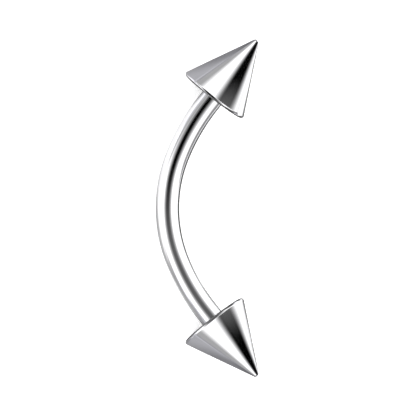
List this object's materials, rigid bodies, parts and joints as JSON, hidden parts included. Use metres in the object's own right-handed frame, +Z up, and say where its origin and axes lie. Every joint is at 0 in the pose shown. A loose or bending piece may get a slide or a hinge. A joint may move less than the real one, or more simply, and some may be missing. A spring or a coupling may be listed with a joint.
{
  "type": "curved eyebrow barbell",
  "caption": "Curved round bar with a pointed cone screwed onto each end, body jewellery worn through a fold of skin.",
  "frame": {"origin": "on the surface that the barbell lies on, at the middle of the underside of its box", "axes": "+Y from the lower cone to the upper cone, +X towards the side that the tips lean to, +Z up"},
  "size_m": [0.005, 0.0186, 0.0038],
  "materials": {
    "bar_steel": "mirror-polished surgical steel",
    "cone_steel": "mirror-polished surgical steel, with fine turning marks round the cone"
  },
  "bodies": {
    "bar": {"bar": "bar_steel"},
    "upper_cone": {"upper_cone": "cone_steel"},
    "lower_cone": {"lower_cone": "cone_steel"}
  },
  "joints": [
    {"name": "upper_cone_unscrews", "type": "slide", "parent": "bar", "child": "upper_cone", "axis": [0.5406, 0.7859, 0.3004], "range_m": [0, 0.003]},
    {"name": "lower_cone_unscrews", "type": "slide", "parent": "bar", "child": "lower_cone", "axis": [0.5406, -0.7859, 0.3004], "range_m": [0, 0.003]}
  ]
}
